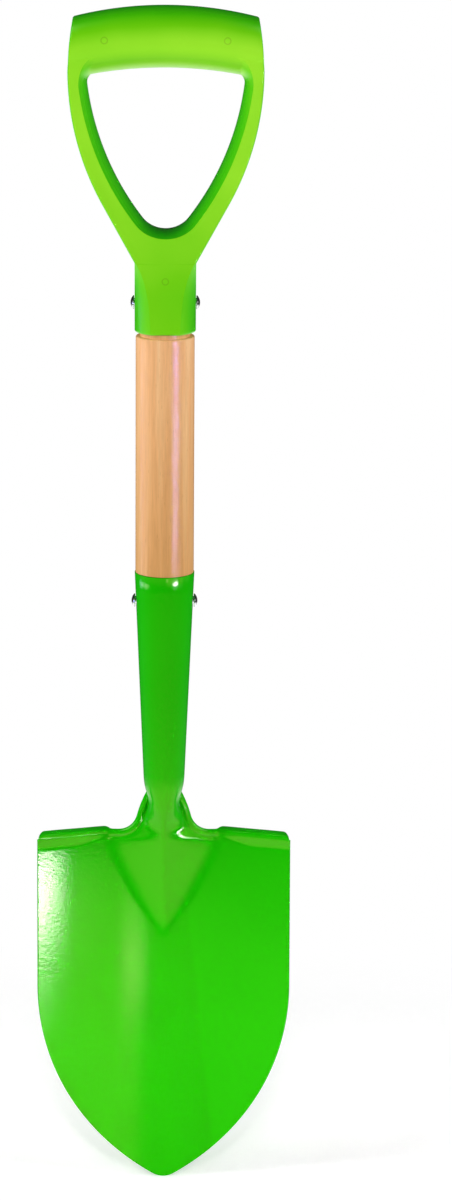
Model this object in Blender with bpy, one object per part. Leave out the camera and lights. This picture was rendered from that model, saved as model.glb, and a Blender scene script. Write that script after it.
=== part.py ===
"""A child's round-point garden spade, built as its five separate pieces.

The blade is one pressed steel sheet with its socket rolled from the same sheet. The shaft is a turned stick of
hardwood, the handle is one moulded plastic D, and two rivets go right through from side to side.

Metres, +Z up the shaft. The origin is the underside of the grip, on the shaft's axis, where the spade hangs from a
hook. The hollow front of the blade looks along -Y.
"""
import math

import bmesh
import bpy

# Fits between the pieces
clearance = 0.0003

# Grip: an arched bar, a little fatter in the middle
grip_radius = 0.0177
grip_barrel = 0.0009
grip_arch_radius = 0.219
grip_edge_round = 0.0010

# Legs and stem of the handle
handle_half_width = 0.0557
widest_drop = 0.0004
side_arc_radius = 0.158
handle_half_depth = 0.0160
stem_length = 0.1102
leg_edge_round = 0.0015

# Hand opening
opening_half_width = 0.0452
opening_height = 0.0927
opening_top_radius = 0.244
opening_side_radius = 0.159
opening_corner_radius = 0.0051
crotch_radius = 0.0164
wall_ease_side = 0.0048
wall_ease_crotch = 0.0034

# Collar that holds the shaft's tenon
collar_radius = 0.0176
collar_length = 0.0441
collar_blend = 0.0130
collar_rim_round = 0.0017

# Wooden shaft
shaft_radius = 0.0170
shaft_bare = 0.1396
shaft_shoulder_round = 0.0008
tenon_radius = 0.0143
tenon_length = 0.0480
taper_length = 0.0900
end_chamfer = 0.0015

# Rolled socket of the blade
sheet = 0.0012
rim_radius = 0.0174
neck_radius = 0.0116
socket_length = 0.1348
seam_gap = 0.0020
opening_out = 0.0360
shoulder_drop = 0.0233

# Pressed blade
blade_half_width = 0.0743
blade_length = 0.2078
side_length = 0.0905
tip_radius = 0.0130
blade_corner_radius = 0.0036
dish_radius = 0.200
pan_setback = 0.0060
pan_lift = 0.060
pan_bow_radius = 1.250

# Raised centre of the blade, which carries the socket's form down into the pan
frog_half_width = 0.0304
frog_length = 0.0665
frog_widest_drop = 0.0075
frog_neck_half_width = 0.0098

# Turned edges: the lips beside the neck and the treads for the feet
flare_slope = 0.30
flare_radius = 0.0120
bend_radius = 0.0025
lip_turn = math.radians(75)
lip_run = 0.0140
tread_depth = 0.0080
tread_start = 0.0335
step_rise = 0.0015
step_height = 0.0090

# Rivets
rivet_radius = 0.0025
rivet_head_radius = 0.0041
rivet_head_height = 0.0021
handle_rivet_up = 0.0191
socket_rivet_down = 0.0173

# Heights along the shaft, from the driving sizes
collar_end = -(stem_length + collar_length)
upper_shoulder = collar_end - clearance
lower_shoulder = upper_shoulder - shaft_bare
socket_rim = lower_shoulder - clearance
neck = socket_rim - socket_length
tread = neck - shoulder_drop
handle_rivet_z = collar_end + handle_rivet_up
socket_rivet_z = socket_rim - socket_rivet_down

# Fineness of the faceted solids
round_steps = 44
grip_steps = 36
tube_half_steps = 14
wing_steps = 8


def smooth(value):
    """0 below 0, 1 above 1, and an easy curve between."""
    value = min(1.0, max(0.0, value))
    return value * value * (3.0 - 2.0 * value)


def mix(a, b, share):
    return a + (b - a) * share


def make_material(name, colour, roughness, metallic):
    material = bpy.data.materials.new(name)
    material.use_nodes = True
    shader = material.node_tree.nodes["Principled BSDF"]
    shader.inputs["Base Color"].default_value = (*colour, 1.0)
    shader.inputs["Roughness"].default_value = roughness
    shader.inputs["Metallic"].default_value = metallic
    return material


def make_object(name, points, faces, material=None):
    """A mesh object with its faces pointing out and its round faces shaded smooth."""
    mesh = bpy.data.meshes.new(name)
    mesh.from_pydata(points, [], faces)
    work = bmesh.new()
    work.from_mesh(mesh)
    bmesh.ops.recalc_face_normals(work, faces=work.faces)
    work.to_mesh(mesh)
    work.free()
    mesh.shade_smooth()
    mesh.set_sharp_from_angle(angle=math.radians(35))
    thing = bpy.data.objects.new(name, mesh)
    bpy.context.collection.objects.link(thing)
    if material:
        mesh.materials.append(material)
    return thing


def loft(rings):
    """Points and faces of a solid through closed rings of equal count, with a flat cap on each end."""
    count = len(rings[0])
    points = [point for ring in rings for point in ring]
    faces = []
    for i in range(len(rings) - 1):
        for j in range(count):
            k = (j + 1) % count
            faces.append((i * count + j, i * count + k, (i + 1) * count + k, (i + 1) * count + j))
    faces.append(tuple(range(count)))
    faces.append(tuple(range((len(rings) - 1) * count, len(rings) * count)))
    return points, faces


def circle_ring(axis, place, radius, steps):
    """A ring of points round the shaft's axis (Z) or across it (X)."""
    turns = [2 * math.pi * k / steps for k in range(steps)]
    if axis == "Z":
        return [(radius * math.cos(a), radius * math.sin(a), place) for a in turns]
    return [(place[0], radius * math.cos(a), place[1] + radius * math.sin(a)) for a in turns]


def cut_or_join(target, tool, operation):
    """Adds a Boolean to the target. The tool itself is only a guide."""
    tool.hide_render = True
    tool.display_type = "WIRE"
    modifier = target.modifiers.new(tool.name, "BOOLEAN")
    modifier.operation = operation
    modifier.solver = "EXACT"
    modifier.object = tool


def cross_hole(name, target, height, reach):
    """Drills a rivet's hole from side to side."""
    rings = [circle_ring("X", (x, height), rivet_radius + clearance, 16) for x in (-reach, reach)]
    cut_or_join(target, make_object(name, *loft(rings)), "DIFFERENCE")


def circles_cross(first, first_radius, second, second_radius, side):
    """The point where two circles in the XZ plane cross, on the side with the larger (1) or smaller (-1) X."""
    dx = second[0] - first[0]
    dz = second[1] - first[1]
    apart = math.hypot(dx, dz)
    along = (apart ** 2 + first_radius ** 2 - second_radius ** 2) / (2 * apart)
    across = math.sqrt(max(0.0, first_radius ** 2 - along ** 2))
    foot = (first[0] + dx / apart * along, first[1] + dz / apart * along)
    ends = [(foot[0] - dz / apart * across * s, foot[1] + dx / apart * across * s) for s in (1, -1)]
    return max(ends) if side > 0 else min(ends)


# Handle

side_centre = (handle_half_width - side_arc_radius, -widest_drop)


def stem_tangent():
    """Where the straight stem edge, which ends at the collar's top corner, leaves the round outer side."""
    dx = collar_radius - side_centre[0]
    dz = -stem_length - side_centre[1]
    angle = math.atan2(dz, dx) + math.acos(min(1.0, side_arc_radius / math.hypot(dx, dz)))
    return (side_centre[0] + side_arc_radius * math.cos(angle), side_centre[1] + side_arc_radius * math.sin(angle))


def outer_half_width(z):
    """Half width of the handle's outline at a height: round side, straight stem, collar."""
    corner = stem_tangent()
    if z >= corner[1]:
        return side_centre[0] + math.sqrt(side_arc_radius ** 2 - (z - side_centre[1]) ** 2)
    if z >= -stem_length:
        return mix(collar_radius, corner[0], (z + stem_length) / (corner[1] + stem_length))
    return collar_radius


def grip_line(x):
    """Height of the grip's centre line at a distance from the middle."""
    return grip_radius - grip_arch_radius + math.sqrt(grip_arch_radius ** 2 - x * x)


def quadrant_to_ring(quadrant, z):
    """Closes a quarter outline, from the side (+X) to the back (+Y), into a ring by its two mirror planes."""
    left = [(-x, y) for x, y in reversed(quadrant[:-1])]
    upper = quadrant + left
    lower = [(x, -y) for x, y in reversed(upper[1:-1])]
    return [(x, y, z) for x, y in upper + lower]


def leg_section(z, half_width):
    """Flat-faced section of the legs and stem, with small round edges."""
    centre = (half_width - leg_edge_round, handle_half_depth - leg_edge_round)
    turns = [math.pi / 2 * k / 6 for k in range(7)]
    arc = [(centre[0] + leg_edge_round * math.cos(a), centre[1] + leg_edge_round * math.sin(a)) for a in turns]
    return quadrant_to_ring([(half_width, 0.0)] + arc + [(0.0, handle_half_depth)], z)


def collar_section(z, inset):
    """Round collar whose front and back stay flat: the flats narrow from full width down to a tongue."""
    corner = math.hypot(collar_radius, handle_half_depth) - 0.4 * leg_edge_round
    fall = math.exp((z + stem_length) / collar_blend)
    radius = mix(collar_radius * 1.012, corner, fall) - inset
    width = collar_radius - inset
    depth = min(handle_half_depth, radius * 0.97) - inset
    first = math.acos(width / radius)
    last = math.asin(depth / radius)
    turns = [mix(first, last, k / 6) for k in range(7)]
    arc = [(radius * math.cos(a), radius * math.sin(a)) for a in turns]
    return quadrant_to_ring([(width, 0.0)] + arc + [(0.0, depth)], z)


def yoke_rings():
    """Sections of the D's body from inside the grip down to the collar's rounded rim."""
    rings = []
    top = grip_line(opening_half_width) - 0.15 * grip_radius
    for k in range(14):
        z = mix(top, stem_tangent()[1], k / 13)
        sink = 0.06 * max(0.0, z)
        rings.append(leg_section(z, outer_half_width(z) - sink))
    rings.append(leg_section(-stem_length, collar_radius))
    body = collar_length - collar_rim_round
    for share in (0.04, 0.10, 0.18, 0.28, 0.42, 0.60, 0.80, 1.0):
        rings.append(collar_section(-stem_length - body * share, 0.0))
    for k in (1, 2, 3):
        turn = math.pi / 6 * k
        z = collar_end + collar_rim_round * (1 - math.sin(turn))
        rings.append(collar_section(z, collar_rim_round * (1 - math.cos(turn))))
    return rings


def opening_outline():
    """The hand opening at mid depth, clockwise from the top middle: arched top, round corners, bowed sides, crotch.

    Each entry is a point and its outward normal.
    """
    crotch = (0.0, -opening_height + crotch_radius)
    top = (0.0, -opening_top_radius)
    rise = math.sqrt(opening_top_radius ** 2 - opening_half_width ** 2) - opening_top_radius
    corner = (opening_half_width, rise)
    side = circles_cross(corner, opening_side_radius, crotch, opening_side_radius - crotch_radius, -1)
    fillet = circles_cross(top, opening_top_radius - opening_corner_radius, side,
                           opening_side_radius - opening_corner_radius, 1)

    def heading(start, end):
        return math.atan2(end[1] - start[1], end[0] - start[0])

    arcs = [
        (top, opening_top_radius, math.pi / 2, heading(top, fillet), 10),
        (fillet, opening_corner_radius, heading(top, fillet), heading(side, fillet), 5),
        (side, opening_side_radius, heading(side, fillet), heading(side, crotch), 10),
        (crotch, crotch_radius, heading(side, crotch), -math.pi / 2, 7),
    ]
    half = []
    for centre, radius, start, end, steps in arcs:
        for k in range(steps):
            a = mix(start, end, k / steps)
            half.append((centre[0] + radius * math.cos(a), centre[1] + radius * math.sin(a),
                         math.cos(a), math.sin(a)))
    bottom = (0.0, -opening_height, 0.0, -1.0)
    return half + [bottom] + [(-x, z, -nx, nz) for x, z, nx, nz in reversed(half[1:])]


def opening_cutter():
    """A spool, narrow at mid depth, whose flared walls give the eased inner edges of the legs."""
    outline = opening_outline()
    reach = handle_half_depth + 0.004
    inside_grip = 0.0005
    rings = []
    for k in range(-5, 6):
        depth = reach * k / 5
        share = (depth / handle_half_depth) ** 2
        under_grip = min(abs(depth), 0.999 * grip_radius)
        raise_top = grip_radius - math.sqrt(grip_radius ** 2 - under_grip ** 2) + inside_grip
        ring = []
        for x, z, nx, nz in outline:
            dz = nz * (raise_top if nz > 0 else wall_ease_crotch * share)
            ring.append((x + nx * wall_ease_side * share, depth, z + dz))
        rings.append(ring)
    return make_object("opening_cutter", *loft(rings))


def grip_solid():
    """The arched barrel of the grip, with its ends following the handle's outer sides."""
    set_in = 0.00025
    rings = []
    stations = [mix(-0.82, 0.82, k / 12) * handle_half_width for k in range(13)]
    turns = [2 * math.pi * j / grip_steps for j in range(grip_steps)]

    def ring(x, cut, radial_cut):
        """cut is None along the bar; at an end it is the distance that the ring lies inside the outer side."""
        lean = math.asin(x / grip_arch_radius)
        radius = grip_radius - grip_barrel * (x / handle_half_width) ** 2 - radial_cut
        points = []
        for a in turns:
            across = radius * math.sin(a)
            up = radius * math.cos(a)
            z = grip_line(x) + up * math.cos(lean)
            px = x + up * math.sin(lean)
            if cut is not None:
                px = math.copysign(outer_half_width(z) - cut, x)
            points.append((px, across, z))
        return points

    rounds = [math.pi / 6 * k for k in range(4)]
    end = 0.97 * handle_half_width
    for a in reversed(rounds):
        cut = set_in + grip_edge_round * (1 - math.sin(a))
        rings.append(ring(-end, cut, grip_edge_round * (1 - math.cos(a))))
    rings += [ring(x, None, 0.0) for x in stations]
    for a in rounds:
        cut = set_in + grip_edge_round * (1 - math.sin(a))
        rings.append(ring(end, cut, grip_edge_round * (1 - math.cos(a))))
    points, faces = loft(rings)
    faces = faces[:-2]
    last = (len(rings) - 1) * grip_steps
    for base in (0, last):
        for j in range(1, grip_steps // 2 - 1):
            faces.append((base + j, base + j + 1, base + grip_steps - j - 1, base + grip_steps - j))
        faces.append((base, base + 1, base + grip_steps - 1))
        middle = base + grip_steps // 2
        faces.append((middle - 1, middle, middle + 1))
    return make_object("grip_form", points, faces)


def build_handle(material):
    handle = make_object("handle", *loft(yoke_rings()), material)
    cut_or_join(handle, opening_cutter(), "DIFFERENCE")
    cut_or_join(handle, grip_solid(), "UNION")
    bore_top = collar_end + tenon_length + clearance
    bore = [circle_ring("Z", z, tenon_radius + clearance, round_steps) for z in (collar_end - 0.002, bore_top)]
    cut_or_join(handle, make_object("tenon_bore_cutter", *loft(bore)), "DIFFERENCE")
    cross_hole("handle_rivet_cutter", handle, handle_rivet_z, 2 * collar_radius)
    return handle


# Shaft

def socket_radius(z):
    """Outer radius of the rolled socket, which tapers evenly from the rim to the neck."""
    return mix(rim_radius, neck_radius, (socket_rim - z) / socket_length)


def tapered_end_radius(z):
    return socket_radius(z) - sheet - clearance


def build_shaft(material):
    top = collar_end + tenon_length
    foot = socket_rim - taper_length
    profile = [
        (top, tenon_radius - end_chamfer),
        (top - end_chamfer, tenon_radius),
        (upper_shoulder, tenon_radius),
        (upper_shoulder, shaft_radius - shaft_shoulder_round),
        (upper_shoulder - 0.3 * shaft_shoulder_round, shaft_radius - 0.3 * shaft_shoulder_round),
        (upper_shoulder - shaft_shoulder_round, shaft_radius),
        (lower_shoulder, shaft_radius),
        (lower_shoulder, tapered_end_radius(socket_rim)),
        (foot + end_chamfer, tapered_end_radius(foot + end_chamfer)),
        (foot, tapered_end_radius(foot) - end_chamfer),
    ]
    rings = [circle_ring("Z", z, radius, round_steps) for z, radius in profile]
    shaft = make_object("shaft", *loft(rings), material)
    cross_hole("tenon_rivet_cutter", shaft, handle_rivet_z, 2 * shaft_radius)
    cross_hole("taper_rivet_cutter", shaft, socket_rivet_z, 2 * shaft_radius)
    return shaft


# Rivets

def build_rivet(name, height, seat, material):
    """A solid rivet from side to side, with a low dome on each end."""
    dome = (rivet_head_radius ** 2 + rivet_head_height ** 2) / (2 * rivet_head_height)
    spread = math.asin(rivet_head_radius / dome)
    half = [(seat, rivet_radius), (seat, rivet_head_radius - 0.0002)]
    for k in range(4):
        a = spread * (1 - k / 4)
        half.append((seat + rivet_head_height - dome * (1 - math.cos(a)) + 0.0002 * (k == 0), dome * math.sin(a)))
    half.append((seat + rivet_head_height, 0.08 * rivet_head_radius))
    profile = [(-x, r) for x, r in reversed(half)] + half
    rings = [circle_ring("X", (x, height), radius, 20) for x, radius in profile]
    return make_object(name, *loft(rings), material)


# Blade

def neck_outline(z, inset):
    """Half width of the tapered neck and of the lips that flare from it into the level tread.

    The same line can be had set inside the silhouette.
    """
    if z >= neck:
        return socket_radius(z) - inset
    stretch = math.hypot(1.0, flare_slope)
    centre_z = tread + flare_radius
    centre_x = neck_radius + flare_slope * (neck - centre_z) + flare_radius * stretch
    radius = flare_radius + inset
    if z >= centre_z - radius * flare_slope / stretch:
        return neck_radius + flare_slope * (neck - z) - inset * stretch
    return centre_x - math.sqrt(max(0.0, radius ** 2 - (centre_z - z) ** 2))


def edge_turn(x, z):
    """How far round the edge is bent, and how far it runs on straight back.

    It starts on the neck as a rising lip, turns to a deep tread, and dies out before the blade's corner.
    """
    rise = smooth((neck + lip_run - z) / (1.2 * lip_run))
    end = smooth((blade_half_width - blade_corner_radius - x) / (1.2 * blade_corner_radius))
    deep = smooth((x - 0.93 * tread_start) / (0.14 * tread_start))
    turn = mix(lip_turn, math.pi / 2, deep) * rise * end
    straight = mix(0.2 * bend_radius, tread_depth - bend_radius, deep) * rise * end
    return turn, straight


def step_bulge(x, below):
    """The pressed step under the tread stands forward, and fades out downwards and towards the frog."""
    beside = smooth((abs(x) - 0.7 * tread_start) / (0.35 * tread_start))
    return step_rise * beside * (1 - smooth(below / step_height))


def pan(x, z):
    """Front surface of the pan: set back at the neck, dished across, bowed and lifted towards the point."""
    below = max(0.0, tread - z)
    along = pan_setback - pan_lift * below - below ** 2 / (2 * pan_bow_radius)
    return along - x * x / (2 * dish_radius) - step_bulge(x, below)


frog_widest = tread - frog_widest_drop
frog_end = tread - frog_length


def pan_edge(z):
    """Half width of the blade: round corner, straight side, pointed arch and round tip."""
    below = tread - z
    narrow = blade_half_width - tip_radius
    reach = blade_length - tip_radius - side_length
    offset = (reach ** 2 - narrow ** 2) / (2 * narrow)
    arch = blade_half_width + offset
    tangent = side_length + reach * arch / (arch - tip_radius)
    if below < blade_corner_radius:
        up = blade_corner_radius - below
        return blade_half_width - blade_corner_radius + math.sqrt(blade_corner_radius ** 2 - up ** 2)
    if below < side_length:
        return blade_half_width
    if below < tangent:
        return math.sqrt(arch ** 2 - (below - side_length) ** 2) - offset
    centre = blade_length - tip_radius
    return math.sqrt(max(0.0, tip_radius ** 2 - (below - centre) ** 2))


def valley(z):
    """Half width of the raised centre: slim at the neck, widest under the treads, a point lower down."""
    if z >= neck:
        return mix(frog_neck_half_width, socket_radius(z), smooth((z - neck) / lip_run))
    if z >= frog_widest:
        share = (neck - z) / (neck - frog_widest)
        return mix(frog_neck_half_width, frog_half_width, share ** 3.6)
    slim = 0.03 * frog_half_width
    if z >= frog_end:
        share = (frog_widest - z) / (frog_widest - frog_end)
        return max(slim, frog_half_width * (1 - share ** 1.3))
    spread = smooth((frog_end - z) / frog_length)
    return min(mix(slim, 0.33 * blade_half_width, spread), 0.33 * pan_edge(z))


def frog_height(z):
    """How far the raised centre stands forward of the pan."""
    share = min(1.0, max(0.0, (z - frog_end) / (neck - frog_end)))
    return (neck_radius + pan_setback) * share


def lip_half_width(z):
    """Outer edge of the centre strip: the flaring lip above the tread line, a line in the pan below it."""
    line = tread - bend_radius
    if z >= line:
        bent = bend_radius * math.sin(edge_turn(0.0, z)[0])
        return neck_outline(z, bent if z > neck else bend_radius)
    start = (neck_outline(line, bend_radius) - valley(line)) / (blade_half_width - valley(line))
    share = mix(start, 0.35, smooth((line - z) / frog_length))
    return mix(valley(z), pan_edge(z), share)


def pressed_half(z):
    """Half section of the opened sheet at a height: crest, valley, lip."""
    front = tube_half_steps // 2
    roundness = smooth((z - frog_widest) / (neck - frog_widest))
    width = valley(z)
    crest = 0.12
    points = []
    for k in range(front + 1):
        share = k / front
        turn = share * math.pi / 2
        roof = (math.hypot(share, crest) - crest) / (math.hypot(1, crest) - crest)
        x = width * mix(share, math.sin(turn), roundness)
        fall = mix(roof, 1 - math.cos(turn), roundness)
        points.append((x, pan(x, z) - frog_height(z) * (1 - fall)))
    rest = tube_half_steps - front
    for k in range(1, rest + 1):
        x = mix(width, lip_half_width(z), k / rest)
        points.append((x, pan(x, z)))
    return points


def rolled_half(z):
    """Half section of the rolled socket, from its front to the seam behind."""
    radius = socket_radius(z)
    last = math.pi - seam_gap / 2 / radius
    turns = [last * k / tube_half_steps for k in range(tube_half_steps + 1)]
    return [(radius * math.sin(a), -radius * math.cos(a)) for a in turns]


def strip_half(z):
    """The centre strip's half section: rolled above, unrolling at the neck, pressed below."""
    flat_from = neck - 0.1 * opening_out
    share = smooth((neck + opening_out - z) / (neck + opening_out - flat_from))
    if share <= 0.0:
        return rolled_half(z)
    if share >= 1.0:
        return pressed_half(z)
    return [(mix(a[0], b[0], share), mix(a[1], b[1], share)) for a, b in zip(rolled_half(z), pressed_half(z))]


def upper_rows():
    """Heights of the strip's rows from the rim to the tread line, closer where the sheet unrolls."""
    line = tread - bend_radius
    rows = [mix(socket_rim, neck + opening_out, k / 2) for k in range(2)]
    rows += [mix(neck + opening_out, neck - 0.1 * opening_out, k / 9) for k in range(9)]
    rows += [mix(neck - 0.1 * opening_out, line, math.sin(math.pi / 2 * k / 8)) for k in range(8)]
    return rows + [line]


def lower_rows():
    """Heights of the blade's rows from the tread line to the last one before the point."""
    line = tread - bend_radius
    below = [bend_radius + (blade_corner_radius - bend_radius) * k / 3 for k in range(1, 3)]
    below += [mix(blade_corner_radius, step_height, k / 3) for k in range(3)]
    below += [mix(step_height, frog_length, k / 9) for k in range(9)]
    below += [mix(frog_length, side_length, k / 2) for k in range(2)]
    arch = blade_length - side_length
    below += [side_length + arch * math.sin(math.pi / 2 * k / 14) for k in range(14)]
    return [line] + [tread - b for b in below]


def along_path(path):
    """Outward normals, in the XZ plane, of a path that runs from the neck to the blade's side."""
    normals = []
    for k in range(len(path)):
        before = path[max(0, k - 1)]
        after = path[min(len(path) - 1, k + 1)]
        dx = after[0] - before[0]
        dz = after[2] - before[2]
        length = math.hypot(dx, dz)
        normals.append((-dz / length, dx / length))
    return normals


def turned_edge(path):
    """Rows of points that bend the sheet back along a path and carry it straight on."""
    rows = []
    for point, (nx, nz) in zip(path, along_path(path)):
        turn, straight = edge_turn(point[0], point[2])
        row = [point]
        for k in range(1, 4):
            a = turn * k / 3
            out = bend_radius * math.sin(a)
            row.append((point[0] + nx * out, point[1] + bend_radius * (1 - math.cos(a)), point[2] + nz * out))
        last = row[-1]
        side = straight * math.cos(turn)
        row.append((last[0] + nx * side, last[1] + straight * math.sin(turn), last[2] + nz * side))
        rows.append(row)
    return rows


def sheet_patches():
    """Grids of points over the right half of the sheet: centre strip, wing and turned edge."""
    above = upper_rows()
    below = lower_rows()
    strip = [[(x, y, z) for x, y in strip_half(z)] for z in above]
    strip += [[(x, y, z) for x, y in strip_half(z)] for z in below[1:]]
    wing = []
    for z in below:
        inner = lip_half_width(z)
        outer = pan_edge(z)
        xs = [mix(inner, outer, k / wing_steps) for k in range(wing_steps + 1)]
        wing.append([(x, pan(x, z), z) for x in xs])
    lip = [row[-1] for row, z in zip(strip, above) if z <= neck + lip_run]
    return strip, wing, turned_edge(lip + wing[0][1:])


def build_blade(material):
    work = bmesh.new()
    strip, wing, edge = sheet_patches()
    point_z = tread - blade_length
    for mirror in (1, -1):
        for grid in (strip, wing, edge):
            rows = [[work.verts.new((mirror * x, y, z)) for x, y, z in row] for row in grid]
            for i in range(len(rows) - 1):
                for j in range(len(rows[0]) - 1):
                    work.faces.new((rows[i][j], rows[i + 1][j], rows[i + 1][j + 1], rows[i][j + 1]))
        last = strip[-1] + wing[-1][1:]
        tip = work.verts.new((0.0, pan(0.0, point_z), point_z))
        fan = [work.verts.new((mirror * x, y, z)) for x, y, z in last]
        for j in range(len(fan) - 1):
            work.faces.new((fan[j], tip, fan[j + 1]))
    bmesh.ops.remove_doubles(work, verts=work.verts, dist=1e-6)
    bmesh.ops.recalc_face_normals(work, faces=work.faces)
    lowest = min(work.faces, key=lambda face: face.calc_center_median().z)
    if lowest.normal.y > 0:
        bmesh.ops.reverse_faces(work, faces=work.faces)
    mesh = bpy.data.meshes.new("blade")
    work.to_mesh(mesh)
    work.free()
    mesh.shade_smooth()
    mesh.materials.append(material)
    blade = bpy.data.objects.new("blade", mesh)
    bpy.context.collection.objects.link(blade)
    wall = blade.modifiers.new("sheet thickness", "SOLIDIFY")
    wall.thickness = sheet
    wall.offset = -1.0
    wall.use_quality_normals = True
    cross_hole("socket_rivet_cutter", blade, socket_rivet_z, 2 * rim_radius)
    return blade


def main():
    for thing in list(bpy.data.objects):
        bpy.data.objects.remove(thing, do_unlink=True)
    painted_steel = make_material("powder_coated_steel", (0.028, 0.60, 0.006), 0.28, 0.0)
    wood = make_material("lacquered_hardwood", (0.66, 0.44, 0.26), 0.45, 0.0)
    plastic = make_material("moulded_plastic", (0.22, 0.78, 0.012), 0.38, 0.0)
    zinc = make_material("zinc_plated_steel", (0.62, 0.63, 0.64), 0.25, 1.0)
    build_handle(plastic)
    build_shaft(wood)
    build_blade(painted_steel)
    build_rivet("handle_rivet", handle_rivet_z, collar_radius + clearance, zinc)
    seat = socket_radius(socket_rivet_z + rivet_head_radius) + clearance
    build_rivet("socket_rivet", socket_rivet_z, seat, zinc)


main()
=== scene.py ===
# %% [markdown]
# # A child's round-point garden spade
# A real garden tool in a child's size: a blade pressed from one green steel sheet, whose socket is rolled from the
# same sheet; a turned hardwood shaft; a moulded plastic D handle; and two rivets that go through from side to side.
# The construction model is loaded first as a fixed frame. Each piece is then made again at a finer pitch in the same
# place, because the look of a spade is in how smoothly its sheet bends and how light slides along those bends.

# %% Load the construction model and keep its box
from math import acos, asin, atan2, copysign, cos, exp, hypot, pi, radians, sin, sqrt

import bmesh
import bpy
from mathutils import Matrix, Vector


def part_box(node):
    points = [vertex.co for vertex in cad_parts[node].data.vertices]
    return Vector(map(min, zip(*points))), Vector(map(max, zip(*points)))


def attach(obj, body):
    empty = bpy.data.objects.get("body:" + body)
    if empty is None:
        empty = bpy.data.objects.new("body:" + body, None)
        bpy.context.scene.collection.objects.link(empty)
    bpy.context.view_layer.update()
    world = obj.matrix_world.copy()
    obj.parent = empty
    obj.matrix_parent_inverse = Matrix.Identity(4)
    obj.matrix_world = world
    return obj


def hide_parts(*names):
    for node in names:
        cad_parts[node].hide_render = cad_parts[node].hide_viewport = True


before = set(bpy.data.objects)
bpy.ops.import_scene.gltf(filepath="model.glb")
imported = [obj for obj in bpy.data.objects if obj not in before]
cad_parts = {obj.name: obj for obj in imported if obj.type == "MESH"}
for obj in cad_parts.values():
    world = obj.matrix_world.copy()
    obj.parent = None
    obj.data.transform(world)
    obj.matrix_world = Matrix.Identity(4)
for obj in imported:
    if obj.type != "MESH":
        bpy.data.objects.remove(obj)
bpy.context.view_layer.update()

point_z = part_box("blade")[0][2]

# %% [markdown]
# ## Sizes
# Everything is in metres, measured from the underside of the grip on the shaft's axis. These are the sizes that the
# real maker would dimension on a drawing. Heights follow from them by addition, so no height is written twice.

# %% Driving sizes
clearance = 0.0003

grip_radius = 0.0177
grip_barrel = 0.0009
grip_arch_radius = 0.219
grip_edge_round = 0.0010
handle_half_width = 0.0557
widest_drop = 0.0004
side_arc_radius = 0.158
handle_half_depth = 0.0160
stem_length = 0.1102
leg_edge_round = 0.0015
opening_half_width = 0.0452
opening_height = 0.0927
opening_top_radius = 0.244
opening_side_radius = 0.159
opening_corner_radius = 0.0051
crotch_radius = 0.0164
wall_ease_side = 0.0048
wall_ease_crotch = 0.0034
collar_radius = 0.0176
collar_length = 0.0419
shoulder_gap = 0.0025
collar_blend = 0.0130
collar_rim_round = 0.0017

shaft_radius = 0.0170
shaft_bare = 0.1396
shaft_shoulder_round = 0.0008
tenon_radius = 0.0143
tenon_length = 0.0480
taper_length = 0.0900

sheet = 0.0012
rim_radius = 0.0174
neck_radius = 0.0116
socket_length = 0.1348
seam_gap = 0.0020
opening_out = 0.0360
front_opening = 0.0120
shoulder_drop = 0.0233
blade_half_width = 0.0743
blade_length = 0.2078
side_length = 0.0905
tip_radius = 0.0130
blade_corner_radius = 0.0036
dish_radius = 0.200
pan_setback = 0.0060
lip_setback = 0.0020
pan_lift = 0.060
pan_bow_radius = 1.250
frog_half_width = 0.0315
frog_length = 0.0665
frog_widest_drop = 0.0040
frog_tip_width = 0.0045
frog_corner_round = 0.0040
frog_crest_ease = 0.0018
frog_foot_ease = 0.0055
groove_inset = 0.0027
groove_depth = 0.0003
bead_rise = 0.0009
bead_width = 0.0018
flare_slope = 0.30
flare_radius = 0.0120
bend_radius = 0.0025
lip_turn = radians(75)
lip_run = 0.0140
tread_depth = 0.0080
tread_start = 0.0335
step_rise = 0.0015
step_height = 0.0068
step_grows = 0.0220

rivet_radius = 0.0025
rivet_head_radius = 0.0041
rivet_head_height = 0.0021
handle_rivet_up = 0.0169
socket_rivet_down = 0.0173

# %% Heights that follow from the sizes
collar_end = -(stem_length + collar_length)
upper_shoulder = collar_end - shoulder_gap
lower_shoulder = upper_shoulder - shaft_bare
socket_rim = lower_shoulder - clearance
neck = socket_rim - socket_length
tread = neck - shoulder_drop
tread_line = tread - bend_radius
corner_start = blade_half_width - blade_corner_radius
frog_widest = tread - frog_widest_drop
frog_end = tread - frog_length
handle_rivet_z = collar_end + handle_rivet_up
socket_rivet_z = socket_rim - socket_rivet_down

# %% [markdown]
# ## The camera
# The photograph was taken from a little above the spade, with a long lens some 2.6 m away. A long lens flattens the
# perspective, which is why the shaft looks the same width at both ends. The focal length is worked out in pixels of
# the photograph's height, so that one millimetre of the spade covers the same part of the frame as it does there.

# %% Place the camera
image_height = 1200
focal_pixels = 4586
camera_distance = 2.600
camera_height = 0.3367
pitch = radians(14.0)
yaw = radians(0.792)
roll = radians(0.35)

camera_data = bpy.data.cameras.new("studio camera")
camera_data.sensor_fit = "VERTICAL"
camera_data.sensor_height = 36.0
camera_data.lens = focal_pixels / image_height * camera_data.sensor_height
camera_data.clip_end = 60.0
camera = bpy.data.objects.new("studio camera", camera_data)
bpy.context.collection.objects.link(camera)
bpy.context.scene.camera = camera

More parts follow.
